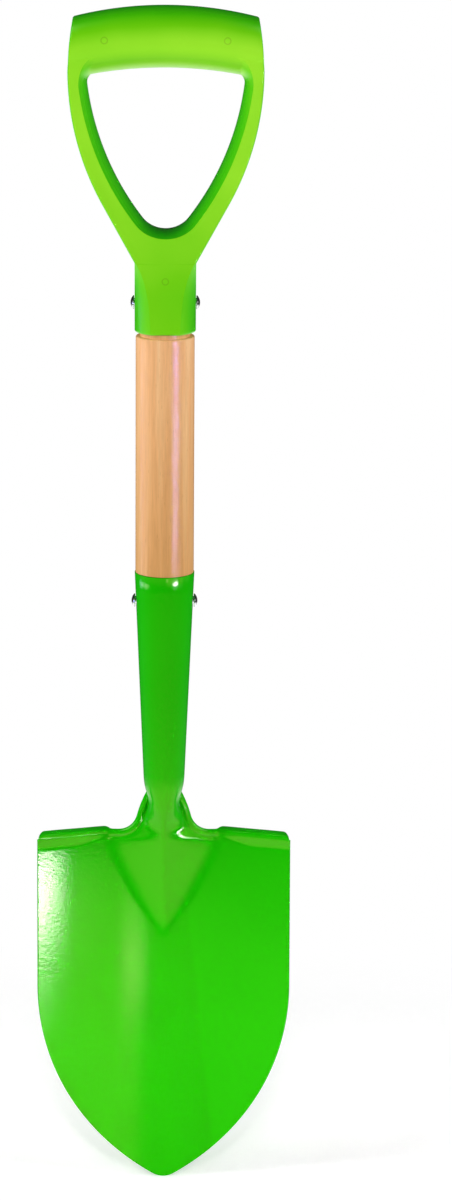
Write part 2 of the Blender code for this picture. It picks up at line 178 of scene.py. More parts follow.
ahead = Vector((sin(yaw) * cos(pitch), cos(yaw) * cos(pitch), -sin(pitch)))
level_right = ahead.cross(Vector((0, 0, 1))).normalized()
level_up = level_right.cross(ahead)
right = level_right * cos(roll) + level_up * sin(roll)
up = level_up * cos(roll) - level_right * sin(roll)
turned_to = Matrix((right, up, -ahead)).transposed().to_4x4()
camera.matrix_world = Matrix.Translation((0.0, -camera_distance, camera_height)) @ turned_to
print(f"lens {camera_data.lens:.1f} mm on a {camera_data.sensor_height:.0f} mm high frame")


# %% [markdown]
# ## Small helpers
# Rings are the commonest form here: the D's body, the grip, and what cuts the hand opening and the bore are all rings
# with a skin stretched over them. One function makes such a solid. Another shades a piece smooth but for real edges.

# %% Helpers for numbers and meshes
def smooth(value):
    """0 below 0, 1 above 1, and an easy curve between."""
    value = min(1.0, max(0.0, value))
    return value * value * (3.0 - 2.0 * value)


def mix(a, b, share):
    return a + (b - a) * share


def chord(radius, off):
    """Half the width of a circle at a distance from its middle."""
    return sqrt(max(0.0, radius ** 2 - off ** 2))


def span(start, end, steps):
    """Even steps from the start, without the end."""
    return [mix(start, end, k / steps) for k in range(steps)]


def new_piece(name, data):
    """An object at the origin."""
    piece = bpy.data.objects.new(name, data)
    bpy.context.collection.objects.link(piece)
    return piece


def piece_from(name, work):
    """An object at the origin, made from a bmesh."""
    mesh = bpy.data.meshes.new(name)
    work.to_mesh(mesh)
    work.free()
    return new_piece(name, mesh)


def shaded(piece, sharp_degrees):
    """Smooth but for edges sharper than the angle."""
    piece.data.shade_smooth()
    piece.data.set_sharp_from_angle(angle=radians(sharp_degrees))
    return piece


def skin_rings(name, rings):
    """A closed solid through rings of equal count, with its faces out."""
    work = bmesh.new()
    rows = [[work.verts.new(point) for point in ring] for ring in rings]
    for lower, upper in zip(rows, rows[1:]):
        for j in range(len(lower)):
            k = (j + 1) % len(lower)
            work.faces.new((lower[j], lower[k], upper[k], upper[j]))
    work.faces.new(rows[0])
    work.faces.new(rows[-1])
    bmesh.ops.remove_doubles(work, verts=work.verts, dist=1e-7)
    bmesh.ops.recalc_face_normals(work, faces=work.faces)
    return shaded(piece_from(name, work), 35)


def settle(piece):
    """Applies every modifier, so that the piece is one plain mesh."""
    depsgraph = bpy.context.evaluated_depsgraph_get()
    settled = bpy.data.meshes.new_from_object(piece.evaluated_get(depsgraph))
    piece.modifiers.clear()
    piece.data = settled
    settled.name = piece.name
    return piece


def triangles(piece):
    return sum(len(polygon.vertices) - 2 for polygon in piece.data.polygons)


# %% [markdown]
# ## Materials: the shared helper
# A material is a small network. One helper adds a node with its settings and joins its inputs, so that each material
# below reads as a list of what the finish is made of. Colours are written as sRGB hex, as a paint chart gives them,
# and turned to the linear values that light needs.

# %% Colour and node helpers
def colour(hex_value):
    """An sRGB hex colour as linear RGBA."""
    parts = [int(hex_value[i:i + 2], 16) / 255 for i in (1, 3, 5)]
    return tuple(p / 12.92 if p <= 0.04045 else ((p + 0.055) / 1.055) ** 2.4 for p in parts) + (1.0,)


def set_up(node, **values):
    """Sets up a node, a modifier or a lamp. A lower-case keyword is one of its settings, and stops are those of a
    colour ramp. Any other keyword is a node's input, by name or, after an underscore, by number, and takes a value,
    another node's first output, or a tuple (node, output)."""
    for key, value in values.items():
        if key == "stops":
            elements = node.color_ramp.elements
            while len(elements) < len(value):
                elements.new(0.5)
            for element, (position, hex_value) in zip(elements, value):
                element.position, element.color = position, colour(hex_value)
        elif key[0].islower():
            setattr(node, key, value)
        else:
            socket = node.inputs[int(key[1:]) if key[0] == "_" else key.replace("_", " ")]
            source = value if isinstance(value, tuple) else (value, 0)
            if isinstance(source[0], bpy.types.Node):
                node.id_data.links.new(source[0].outputs[source[1]], socket)
            else:
                socket.default_value = value
    return node


def add(tree, kind, **values):
    """Adds a node and sets it up. Its kind, such as TexNoise, SetPosition or Math ADD, goes without its prefix."""
    kind, *operation = kind.split()
    prefix = next(start for start in ("ShaderNode", "GeometryNode", "") if hasattr(bpy.types, start + kind))
    node = tree.nodes.new(prefix + kind)
    for name in operation:
        node.operation = name
    return set_up(node, **values)


def new_material(name):
    """An empty Principled material, with its tree, its shader, and the place in the piece's frame."""
    material = bpy.data.materials.new(name)
    material.use_nodes = True
    tree = material.node_tree
    return material, tree, tree.nodes["Principled BSDF"], (add(tree, "TexCoord"), "Object")


def dress(piece, material):
    piece.data.materials.clear()
    piece.data.materials.append(material)


# %% [markdown]
# ### Powder coat on steel
# The blade is sprayed with dry polyester powder and baked, so that the powder melts into one thick glossy skin. It
# runs slightly thin on sharp edges and dries with a faint orange peel, some 2 to 3 mm from crest to crest. To the eye
# that is a very even saturated green, whose highlights have soft, slightly wavy edges.

# %% Material: powder-coated steel
powder_coat, tree, shader, place = new_material("powder_coated_steel")
peel = add(tree, "TexNoise", Vector=place, Scale=1 / 0.0020, Detail=2.0)
drift = add(tree, "TexNoise", Vector=place, Scale=1 / 0.060, Detail=1.0)
shade = add(tree, "ValToRGB", Fac=drift, stops=[(0.0, "#0CB800"), (1.0, "#18C002")])
sheen = add(tree, "MapRange", Value=drift, To_Min=0.09, To_Max=0.14)
relief = add(tree, "Bump", Height=peel, Strength=0.35, Distance=0.00012)
set_up(shader, Base_Color=shade, Roughness=sheen, Normal=relief, IOR=1.50, Specular_Tint=(1, 1, 0.16, 1))

# %% [markdown]
# ### Moulded polypropylene
# The handle comes out of a steel mould. Grained steel formed its front and back, which scatter light and are rougher,
# and polished steel the walls, which slid out along it. The colour is painted by the way a face points: the walls and
# the faces that look up get a deeper green as painted shade, and the front, back and undersides a lighter yellow-green
# as painted light. Painted light also makes the colour lighter higher up, for light that comes through the thin legs,
# and painted shade makes the top of the grip deeper than its front, as it faces the dark ceiling. A hair-thin line runs
# round the middle of its depth where the mould's halves met, and three small rings show where pins pushed the part
# out; their colour is darkened as painted shade in their grooves.

# %% Material: moulded polypropylene
grip_mark = (0.0348, 0.0, 0.0172)
stem_mark = (0.0, 0.0, -0.1206)
mark_radius = 0.0018
plastic, tree, shader, place = new_material("moulded_polypropylene")
grain = add(tree, "TexNoise", Vector=place, Scale=1 / 0.0009, Detail=3.0, Roughness=0.6)
flow = add(tree, "TexNoise", Vector=place, Scale=1 / 0.035, Detail=1.0)
# Painted shade and painted light by face direction: walls and tops deeper, front, back and undersides lighter.
facing = add(tree, "SeparateXYZ", Vector=(place[0], "Normal"))
flat_on = add(tree, "Math ABSOLUTE", _0=(facing, "Y"))
under = add(tree, "MapRange", Value=(facing, "Z"), From_Min=-1.0, From_Max=0.0, To_Min=1.3, To_Max=0.0)
painted_light_and_grain = add(tree, "Math MAXIMUM", _0=flat_on, _1=under)
depth = add(tree, "SeparateXYZ", Vector=place)
# Painted light: lighter higher up, for light through the thin legs. Painted shade: darker on faces that look up.
painted_light_by_height = add(tree, "MapRange", Value=(depth, "Z"), From_Min=-0.130, From_Max=-0.060, To_Max=0.2)
painted_top_shade = add(tree, "MapRange", Value=(facing, "Z"), To_Max=-0.25)
# This sum holds painted light by height and painted shade on the tops, not a real thickness of the plastic.
thickness = add(tree, "Math ADD", _0=painted_light_by_height, _1=painted_top_shade)
uneven_and_painted = add(tree, "Math MULTIPLY_ADD", _0=flow, _1=0.20, _2=thickness)
toned = add(tree, "Math MULTIPLY_ADD", _0=painted_light_and_grain, _1=0.66, _2=uneven_and_painted)
shade = add(tree, "ValToRGB", Fac=toned,
            stops=[(0.10, "#18A800"), (0.50, "#44C800"), (0.76, "#6ED60A"), (1.0, "#9CEE2C")])
# The same face mask makes the grained front and back rougher than the polished walls.
sheen = add(tree, "MapRange", Value=painted_light_and_grain, From_Min=0.3, From_Max=0.9, To_Min=0.26, To_Max=0.34)
off_middle = add(tree, "Math ABSOLUTE", _0=(depth, "Y"))
parting = add(tree, "MapRange", Value=off_middle, From_Min=0.0, From_Max=0.00022, To_Min=1.0, To_Max=0.0)
either_side = add(tree, "Math ABSOLUTE", _0=(depth, "X"))
on_face = add(tree, "CombineXYZ", X=either_side, Z=(depth, "Z"))
from_grip = add(tree, "VectorMath DISTANCE", _0=on_face, _1=grip_mark)
from_stem = add(tree, "VectorMath DISTANCE", _0=on_face, _1=stem_mark)
from_pin = add(tree, "Math MINIMUM", _0=(from_grip, "Value"), _1=(from_stem, "Value"))
off_ring = add(tree, "Math SUBTRACT", _0=from_pin, _1=mark_radius)
off_ring = add(tree, "Math ABSOLUTE", _0=off_ring)
ring = add(tree, "MapRange", Value=off_ring, From_Min=0.0001, From_Max=0.0005, To_Min=-1.5, To_Max=0.0)
marked = add(tree, "Math ADD", _0=ring, _1=parting)
height = add(tree, "Math MULTIPLY_ADD", _0=grain, _1=0.25, _2=marked)
relief = add(tree, "Bump", Height=height, Strength=0.25, Distance=0.00010)
# The pin rings' colour is darkened as painted shade in their grooves. The bump above makes the grooves themselves.
ring_painted_shade = add(tree, "Math MULTIPLY_ADD", _0=ring, _1=0.15, _2=1.0)
tinted = add(tree, "VectorMath SCALE", _0=shade, Scale=ring_painted_shade)
set_up(shader, Base_Color=tinted, Roughness=sheen, Normal=relief, IOR=1.49, Specular_Tint=(1, 1, 0.20, 1))

# %% [markdown]
# ### Lacquered beech
# Beech is pale, pinkish tan and very even. What shows is the growth rings cut lengthwise, as wide soft streaks; short
# dark flecks a few millimetres long, which are the rays; and a fine fibre. The thin clear lacquer is silky rather
# than glassy. The pattern is stretched along the shaft, because a stick is split and turned along the fibre, and the
# wood gets a little browner towards the socket.

# %% Material: lacquered beech
beech, tree, shader, place = new_material("lacquered_beech")
along = add(tree, "Mapping", Vector=place, Scale=(1.0, 1.0, 0.045))
fibre = add(tree, "TexNoise", Vector=along, Scale=1 / 0.0007, Detail=4.0, Roughness=0.6)
rings = add(tree, "TexNoise", Vector=along, Scale=1 / 0.0060, Detail=3.0, Distortion=0.6)
short = add(tree, "Mapping", Vector=place, Scale=(1.0, 1.0, 0.16))
rays = add(tree, "TexVoronoi", Vector=short, Scale=1 / 0.0016)
fleck = add(tree, "MapRange", Value=rays, From_Min=0.05, From_Max=0.16, To_Min=1.0, To_Max=0.0)
body = add(tree, "ValToRGB", Fac=rings, stops=[(0.25, "#E6A870"), (0.50, "#F8BC84"), (0.75, "#FFD09C")])
threads = add(tree, "MapRange", Value=fibre, From_Min=0.3, From_Max=0.7, To_Min=0.90, To_Max=1.04)
toned = add(tree, "VectorMath SCALE", _0=body, Scale=threads)
flecked = add(tree, "Mix", data_type="RGBA", Factor=fleck, _6=toned, _7=colour("#C08A5A"))
faint = add(tree, "Mix", data_type="RGBA", Factor=0.35, _6=toned, _7=(flecked, 2))
height = add(tree, "SeparateXYZ", Vector=place)
lower = add(tree, "MapRange", Value=(height, "Z"), From_Min=upper_shoulder, From_Max=lower_shoulder)
darker = add(tree, "VectorMath MULTIPLY", _0=(faint, 2), _1=(0.82, 0.78, 0.62))
timber = add(tree, "Mix", data_type="RGBA", Factor=lower, _6=(faint, 2), _7=darker)
relief = add(tree, "Bump", Height=fibre, Strength=0.12, Distance=0.00010)
set_up(shader, Base_Color=(timber, 2), Roughness=0.24, Normal=relief, Specular_IOR_Level=0.27,
       Specular_Tint=(1, 1, 0.45, 1))

# %% [markdown]
# ### Bright zinc
# The rivets are steel with a thin bright zinc plating. Their heads were struck with a domed tool, which leaves a
# mirror-like crown. Metal takes all its look from what it reflects, so only a little roughness is added.

# %% Material: zinc-plated steel
zinc, tree, shader, place = new_material("zinc_plated_steel")
crystals = add(tree, "TexNoise", Vector=place, Scale=1 / 0.0008, Detail=3.0)
shade = add(tree, "ValToRGB", Fac=crystals, stops=[(0.3, "#C4C6C8"), (0.7, "#D6D7D8")])
sheen = add(tree, "MapRange", Value=crystals, To_Min=0.10, To_Max=0.20)
set_up(shader, Base_Color=shade, Roughness=sheen, Metallic=1.0)


# %% [markdown]
# ## The handle's outline
# Seen from the front, the D is a round side arc, a straight stem edge and the collar. The hand opening has an arched
# top that follows the grip, two small corners, bowed sides and a round crotch. All of them are arcs that meet without
# a kink, so each arc's centre is found from the arcs beside it.

# %% Outline of the legs, stem and collar
# the straight stem edge leaves the round outer side where both point the same way
side_x, side_z = handle_half_width - side_arc_radius, -widest_drop
stem_dx, stem_dz = collar_radius - side_x, -stem_length - side_z
stem_turn = atan2(stem_dz, stem_dx) + acos(side_arc_radius / hypot(stem_dx, stem_dz))
stem_edge_x, stem_edge_z = side_x + side_arc_radius * cos(stem_turn), side_z + side_arc_radius * sin(stem_turn)


def outer_half_width(z):
    """Half width of the handle at a height."""
    if z >= stem_edge_z:
        return side_x + chord(side_arc_radius, z - side_z)
    if z >= -stem_length:
        return mix(collar_radius, stem_edge_x, (z + stem_length) / (stem_edge_z + stem_length))
    return collar_radius


def grip_line(x):
    """Height of the grip's centre line."""
    return grip_radius - grip_arch_radius + chord(grip_arch_radius, x)


def circles_cross(first, first_radius, second, second_radius, pick):
    """Where two circles in the XZ plane cross: of the two places, pick takes the max or the min X."""
    dx, dz = second[0] - first[0], second[1] - first[1]
    apart = hypot(dx, dz)
    reach = (apart ** 2 + first_radius ** 2 - second_radius ** 2) / (2 * apart)
    across = chord(first_radius, reach)
    foot = (first[0] + dx / apart * reach, first[1] + dz / apart * reach)
    ends = [(foot[0] - dz / apart * across * s, foot[1] + dx / apart * across * s) for s in (1, -1)]
    return pick(ends)


# %% Outline of the hand opening
def opening_outline():
    """Points and outward normals of the opening at mid depth, clockwise from the top middle."""
    crotch = (0.0, -opening_height + crotch_radius)
    top = (0.0, -opening_top_radius)
    corner = (opening_half_width, chord(opening_top_radius, opening_half_width) - opening_top_radius)
    side = circles_cross(corner, opening_side_radius, crotch, opening_side_radius - crotch_radius, min)
    fillet = circles_cross(top, opening_top_radius - opening_corner_radius, side,
                           opening_side_radius - opening_corner_radius, max)

    def heading(start, end):
        return atan2(end[1] - start[1], end[0] - start[0])

    centres = (top, fillet, side, crotch)
    radii = (opening_top_radius, opening_corner_radius, opening_side_radius, crotch_radius)
    turns = (pi / 2, heading(top, fillet), heading(side, fillet), heading(side, crotch), -pi / 2)
    half = []
    for centre, radius, start, end, steps in zip(centres, radii, turns, turns[1:], (20, 12, 30, 20)):
        half += [(centre[0] + radius * cos(a), centre[1] + radius * sin(a), cos(a), sin(a))
                 for a in span(start, end, steps)]
    bottom = (0.0, -opening_height, 0.0, -1.0)
    return half + [bottom] + [(-x, z, -nx, nz) for x, z, nx, nz in reversed(half[1:])]


print(f"stem edge meets the side arc at {stem_edge_z * 1000:.1f} mm, opening of {len(opening_outline())} points")


# %% [markdown]
# ## The handle's body
# The legs, stem and collar are one skin over level sections. The legs' section is a flat bar with small round edges.
# At the collar it becomes a disc whose front and back keep a flat that narrows to a tongue, which is the V seen on
# such handles. Cutting the opening with a waisted spool gives the eased inner walls for hand comfort.

# %% Sections of the legs, stem and collar
def ring_round(width, arc, depth, z):
    """A level ring from a quarter of it: half width on X, the corner's arc, half depth on Y."""
    quadrant = [(width, 0.0)] + arc + [(0.0, depth)]
    upper = quadrant + [(-x, y) for x, y in reversed(quadrant[:-1])]
    lower = [(x, -y) for x, y in reversed(upper[1:-1])]
    return [(x, y, z) for x, y in upper + lower]


def leg_section(z, half_width):
    """A flat bar with small round edges."""
    centre = (half_width - leg_edge_round, handle_half_depth - leg_edge_round)
    turns = [pi / 2 * k / 10 for k in range(11)]
    arc = [(centre[0] + leg_edge_round * cos(a), centre[1] + leg_edge_round * sin(a)) for a in turns]
    return ring_round(half_width, arc, handle_half_depth, z)


def collar_section(z, inset):
    """A disc a little wider than the collar, cut flat at the sides, the front and the back."""
    swell, flat, eased = 1.012, 0.97, 0.4
    corner = hypot(collar_radius, handle_half_depth) - eased * leg_edge_round
    fall = exp((z + stem_length) / collar_blend)
    radius = mix(collar_radius * swell, corner, fall) - inset
    width = collar_radius - inset
    depth = min(handle_half_depth, radius * flat) - inset
    turns = [mix(acos(width / radius), asin(depth / radius), k / 10) for k in range(11)]
    arc = [(radius * cos(a), radius * sin(a)) for a in turns]
    return ring_round(width, arc, depth, z)


def yoke_rings():
    """Sections of the D's body from inside the grip down to the collar's rounded rim."""
    sunk, lean = 0.15, 0.06
    top = grip_line(opening_half_width) - sunk * grip_radius
    heights = [mix(top, stem_edge_z, k / 39) for k in range(40)]
    rings = [leg_section(z, outer_half_width(z) - lean * max(0.0, z)) for z in heights]
    rings += [leg_section(z, outer_half_width(z)) for z in (mix(stem_edge_z, -stem_length, k / 6) for k in range(1, 7))]
    body = collar_length - collar_rim_round
    closer_above = [(k / 24) ** 1.5 for k in range(1, 25)]
    rings += [collar_section(-stem_length - body * share, 0.0) for share in closer_above]
    rim_turns = [pi / 2 * (k / 6.5) for k in range(1, 7)]
    return rings + [collar_section(collar_end + collar_rim_round * (1 - sin(a)), collar_rim_round * (1 - cos(a)))
                    for a in rim_turns]


# %% The spool that cuts the opening, and the arched grip
def opening_spool():
    """The cutter of the opening. It widens towards the front and back, and its top follows the round grip."""
    outline = opening_outline()
    past_face, into_grip, widest = 0.004, 0.0005, 0.999
    reach = handle_half_depth + past_face
    rings = []
    for k in range(-12, 13):
        across = reach * k / 12
        share = (across / handle_half_depth) ** 2
        under = min(abs(across), widest * grip_radius)
        raise_top = grip_radius - chord(grip_radius, under) + into_grip
        rings.append([(x + nx * wall_ease_side * share, across,
                       z + nz * (raise_top if nz > 0 else wall_ease_crotch * share)) for x, z, nx, nz in outline])
    return skin_rings("opening spool", rings)


def grip_ring(x, cut, inset, steps=72):
    """A ring round the grip. At an end, cut is how far inside the handle's side it lies; along the bar it is None."""
    points = []
    for j in range(steps):
        a = 2 * pi * j / steps
        along = abs(x)
        for _ in range(1 if cut is None else 12):
            lean = asin(along / grip_arch_radius)
            radius = grip_radius - grip_barrel * (along / handle_half_width) ** 2 - inset
            z = grip_line(along) + radius * cos(a) * cos(lean)
            px = along + radius * cos(a) * sin(lean)
            if cut is not None:
                along += outer_half_width(z) - cut - px
        points.append((copysign(px, x), radius * sin(a), z))
    return points


def arched_grip():
    """Even rings along the bar, and at each end a few that follow the handle's side and round its edge."""
    set_in, even = 0.00025, 0.82
    end = 0.97 * handle_half_width
    rounds = [pi / 2 * k / 6.5 for k in range(7)]
    caps = [(set_in + grip_edge_round * (1 - sin(a)), grip_edge_round * (1 - cos(a))) for a in rounds]
    rings = [grip_ring(-end, cut, inset) for cut, inset in reversed(caps)]
    rings += [grip_ring(mix(-even, even, k / 40) * handle_half_width, None, 0.0) for k in range(41)]
    rings += [grip_ring(end, cut, inset) for cut, inset in caps]
    return skin_rings("arched grip", rings)


# %% Join the handle
past_rim, bore_sides = 0.002, 96
bore_radius = tenon_radius + clearance
bore_turns = [2 * pi * k / bore_sides for k in range(bore_sides)]
bore = [[(bore_radius * cos(a), bore_radius * sin(a), z) for a in bore_turns]
        for z in (collar_end - past_rim, upper_shoulder + tenon_length + 2 * clearance)]

handle = skin_rings("d_handle", yoke_rings())
for tool, operation in ((opening_spool(), "DIFFERENCE"), (arched_grip(), "UNION"),
                        (skin_rings("tenon bore", bore), "DIFFERENCE")):
    set_up(handle.modifiers.new(tool.name, "BOOLEAN"), operation=operation, solver="EXACT", object=tool)
    settle(handle)
    bpy.data.objects.remove(tool)
dress(shaded(handle, 28), plastic)
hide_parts("handle")
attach(handle, "root")
print("handle triangles", triangles(handle))

# %% [markdown]
# ## A lathe as a Geometry Nodes tree
# The shaft and the rivets are turned forms: one profile spun round an axis. The tree takes the profile as a chain of
# points whose X is the radius and whose Z is the height, keeps each radius on the curve, lays the points on the
# axis, and sweeps a circle along them. It can turn any profile, so a change of size needs no new modelling.

# %% The turning tree
def tree_inputs(tree, **inputs):
    """Adds named inputs to a tree and returns the identifier of each, which is what a modifier is set by."""
    tree.interface.new_socket("Geometry", in_out="OUTPUT", socket_type="NodeSocketGeometry")
    return {label: tree.interface.new_socket(label, in_out="INPUT", socket_type="NodeSocket" + kind).identifier
            for label, kind in inputs.items()}


def turned(tree, chain, segments):
    """Nodes that sweep a circle along a chain of points: X is the radius, Z is the height."""
    curve = add(tree, "MeshToCurve", Mesh=chain)
    here = add(tree, "SeparateXYZ", Vector=add(tree, "InputPosition"))
    sized = add(tree, "SetCurveRadius", Curve=curve, Radius=(here, "X"))
    on_axis = add(tree, "CombineXYZ", Z=(here, "Z"))
    laid = add(tree, "SetPosition", Geometry=sized, Position=on_axis)
    circle = add(tree, "CurvePrimitiveCircle", Resolution=segments, Radius=1.0)
    return add(tree, "CurveToMesh", Curve=laid, Profile_Curve=circle, Scale=add(tree, "InputRadius"), Fill_Caps=True)


def finished(tree, geometry):
    """Ends a tree: instances become real, doubles are merged, and the finish is set."""
    real = add(tree, "RealizeInstances", Geometry=geometry)
    merged = add(tree, "MergeByDistance", Geometry=real, Distance=1e-6)
    coated = add(tree, "SetMaterial", Geometry=merged, Material=(tree.nodes["Group Input"], "Finish"))
    add(tree, "NodeGroupOutput", Geometry=coated)


turning = bpy.data.node_groups.new("turned stick", "GeometryNodeTree")
turning_inputs = tree_inputs(turning, Geometry="Geometry", Segments="Int", Finish="Material")
source = add(turning, "NodeGroupInput")
finished(turning, (turned(turning, (source, "Geometry"), (source, "Segments")), "Mesh"))
print("turning tree", len(turning.nodes), "nodes, inputs", list(turning_inputs))


# %% Run a tree on a chain of points
def run_tree(name, chain, tree, identifiers, sharp_degrees, **values):
    """Makes a piece from a profile chain by a tree, and leaves one plain mesh."""
    mesh = bpy.data.meshes.new(name)
    mesh.from_pydata([(radius, 0.0, z) for z, radius in chain], [(k, k + 1) for k in range(len(chain) - 1)], [])
    piece = new_piece(name, mesh)
    modifier = set_up(piece.modifiers.new(tree.name, "NODES"), node_group=tree)
    for label, value in values.items():
        modifier[identifiers[label]] = value
    return shaded(settle(piece), sharp_degrees)


# %% [markdown]
# ## The shaft
# A hardwood stick, turned with a tenon on top that is glued and riveted into the collar, a square shoulder that the
# collar sits on, the bare length that shows, and a taper that is driven into the socket. Its profile is built up
# from the named sizes, with the shoulder's arris broken by sandpaper.

# %% The shaft's profile
def socket_radius(z):
    """Outer radius of the rolled socket, which tapers evenly from the rim to the neck."""
    return mix(rim_radius, neck_radius, (socket_rim - z) / socket_length)


def tapered_end_radius(z):
    """Radius of the shaft's end, which fits inside the socket."""
    return socket_radius(z) - sheet - clearance


# a hair's width parts the two rings of a square shoulder, and a steady ring keeps the shading straight beside it
hair = 0.00001
end_chamfer = 0.0015
steady = 0.0020
shaft_top = upper_shoulder + clearance + tenon_length
shaft_foot = socket_rim - taper_length
shoulder_turns = [pi / 2 * k / 5 for k in range(6)]
shaft_profile = [
    (shaft_top, tenon_radius - end_chamfer), (shaft_top - end_chamfer, tenon_radius),
    (upper_shoulder + hair, tenon_radius),
    *((upper_shoulder - shaft_shoulder_round * (1 - cos(a)),
       shaft_radius - shaft_shoulder_round * (1 - sin(a))) for a in shoulder_turns),
    (upper_shoulder - shaft_shoulder_round - steady, shaft_radius), (lower_shoulder + steady, shaft_radius),
    (lower_shoulder, shaft_radius), (lower_shoulder - hair, tapered_end_radius(socket_rim)),
    (shaft_foot + end_chamfer, tapered_end_radius(shaft_foot + end_chamfer)),
    (shaft_foot, tapered_end_radius(shaft_foot) - end_chamfer),
]

shaft = run_tree("turned_shaft", shaft_profile, turning, turning_inputs, 30, Segments=128, Finish=beech)
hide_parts("shaft")
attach(shaft, "root")
print("shaft triangles", triangles(shaft))

# %% [markdown]
# ## The rivets
# Each rivet is a steel pin through a cross hole, with a low dome struck on both ends. The tree turns one head from
# its profile, sets an instance on each end of a line as long as the seats are apart, turns the far one round, and
# joins them by the shank. Both rivets come from it: only the height and the seat differ.

# %% The rivet tree
riveting = bpy.data.node_groups.new("through rivet", "GeometryNodeTree")
riveting_inputs = tree_inputs(riveting, Geometry="Geometry", Segments="Int", Height="Float", Seat="Float",
                              Shank="Float", Finish="Material")
source = add(riveting, "NodeGroupInput")
head = turned(riveting, (source, "Geometry"), (source, "Segments"))
left_seat = add(riveting, "Math MULTIPLY", _0=(source, "Seat"), _1=-1.0)
left_end = add(riveting, "CombineXYZ", X=left_seat, Z=(source, "Height"))
right_end = add(riveting, "CombineXYZ", X=(source, "Seat"), Z=(source, "Height"))
ends = add(riveting, "MeshLine", mode="END_POINTS", Count=2, Start_Location=left_end, Offset=right_end)
which = add(riveting, "InputIndex")
turn_head = add(riveting, "MapRange", Value=which, To_Min=-pi / 2, To_Max=pi / 2)
turn_about = add(riveting, "CombineXYZ", Y=turn_head)
heads = add(riveting, "InstanceOnPoints", Points=ends, Instance=head, Rotation=turn_about)
pin_line = add(riveting, "MeshToCurve", Mesh=ends)
pin_circle = add(riveting, "CurvePrimitiveCircle", Resolution=(source, "Segments"), Radius=(source, "Shank"))
pin = add(riveting, "CurveToMesh", Curve=pin_line, Profile_Curve=pin_circle)
both = add(riveting, "JoinGeometry", Geometry=heads)
set_up(both, Geometry=pin)
finished(riveting, both)
print("rivet tree", len(riveting.nodes), "nodes, inputs", list(riveting_inputs))

# %% Set both rivets
edge_round = 0.0003
crown = rivet_head_height - edge_round
dome_radius = (rivet_head_radius ** 2 + crown ** 2) / (2 * crown)
spread = asin((rivet_head_radius - edge_round / 2) / dome_radius)
head_profile = [(0.0, rivet_head_radius - edge_round), (edge_round, rivet_head_radius)]
for k in range(1, 13):
    a = spread * (1 - k / 12)
    head_profile.append((rivet_head_height - dome_radius * (1 - cos(a)), max(1e-5, dome_radius * sin(a))))

rivet_seats = {
    "handle_rivet": (handle_rivet_z, collar_radius + clearance),
    "socket_rivet": (socket_rivet_z, socket_radius(socket_rivet_z + rivet_head_radius) + clearance),
}
for node, (z, seat) in rivet_seats.items():
    rivet = run_tree("zinc_" + node, head_profile, riveting, riveting_inputs, 40, Segments=40, Height=z, Seat=seat,
                     Shank=rivet_radius, Finish=zinc)
    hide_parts(node)
    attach(rivet, "root")
    print(node, "at", round(z * 1000, 1), "mm,", triangles(rivet), "triangles")

# %% [markdown]
# ## The blade
# One steel sheet does everything. At the top it is rolled into a tapered socket with a seam behind. Going down, the
# socket opens at the neck and its form runs out as a raised, pointed frog in the dished pan. The top edges are
# bent back: a lip beside the neck, then a deep tread for a foot on each side. It is modelled as one surface in
# front, and its thickness is added last, as a real sheet has the same thickness everywhere.

# %% The sheet's outlines
def neck_outline(z, inset):
    """Half width of the tapered neck and of the lips that flare from it into the level tread."""
    if z >= neck:
        return socket_radius(z) - inset
    stretch = hypot(1.0, flare_slope)
    centre_z = tread + flare_radius
    centre_x = neck_radius + flare_slope * (neck - centre_z) + flare_radius * stretch
    radius = flare_radius + inset
    if z >= centre_z - radius * flare_slope / stretch:
        return neck_radius + flare_slope * (neck - z) - inset * stretch
    return centre_x - chord(radius, centre_z - z)


def pan_edge(z):
    """Half width of the blade: round corner, straight side, pointed arch and round tip."""
    below = tread - z
    narrow = blade_half_width - tip_radius
    reach = blade_length - tip_radius - side_length
    offset = (reach ** 2 - narrow ** 2) / (2 * narrow)
    arch = blade_half_width + offset
    tangent = side_length + reach * arch / (arch - tip_radius)
    if below < blade_corner_radius:
        return corner_start + chord(blade_corner_radius, blade_corner_radius - below)
    if below < side_length:
        return blade_half_width
    if below < tangent:
        return chord(arch, below - side_length) - offset
    return chord(tip_radius, below - blade_length + tip_radius)


def valley(z):
    """Half width of the frog: it spreads out below the neck, is widest under the treads and ends in a soft point."""
    spreading, narrowing = 1.76, 1.2
    at_neck = neck_outline(neck, groove_inset)
    if z >= neck:
        return mix(at_neck, socket_radius(z), smooth((z - neck) / lip_run))
    spread = at_neck + (frog_half_width - at_neck) * ((neck - z) / (neck - frog_widest)) ** spreading
    share = min(1.0, max(0.0, (frog_widest - z) / (frog_widest - frog_end)))
    pointed = max(frog_tip_width, frog_half_width * (1 - share ** narrowing))
    return (spread + pointed - hypot(spread - pointed, frog_corner_round)) / 2


def edge_turn(x, z):
    """How far round the edge is bent, and how far it runs on straight back."""
    stub, deep_from, deepens = 0.2 * bend_radius, 0.93 * tread_start, 0.14 * tread_start
    rise = smooth((neck + lip_run / 2 - z) / lip_run)
    out = min(1.0, max(0.0, (x - corner_start) / (pan_edge(tread_line) - corner_start)))
    deep = smooth((x - deep_from) / deepens)
    straight = mix(stub, tread_depth - bend_radius, deep) * rise * chord(1, out)
    return mix(lip_turn, pi / 2, deep) * rise, straight


def corner_height(x):
    """Height of the blade's upper outline, which falls round the outer corner."""
    over = min(1.0, max(0.0, (x - corner_start) / blade_corner_radius))
    return tread - blade_corner_radius * (1 - chord(1, over))


def lip_half_width(z):
    """Outer edge of the centre strip: the flaring lip above the tread line, a line in the pan below it."""
    if z >= tread_line:
        return neck_outline(z, bend_radius * sin(edge_turn(0.0, z)[0]) / sin(lip_turn))
    first_share, last_share = neck_outline(tread_line, bend_radius) / blade_half_width, 0.45
    return pan_edge(z) * mix(first_share, last_share, smooth((tread_line - z) / frog_length))


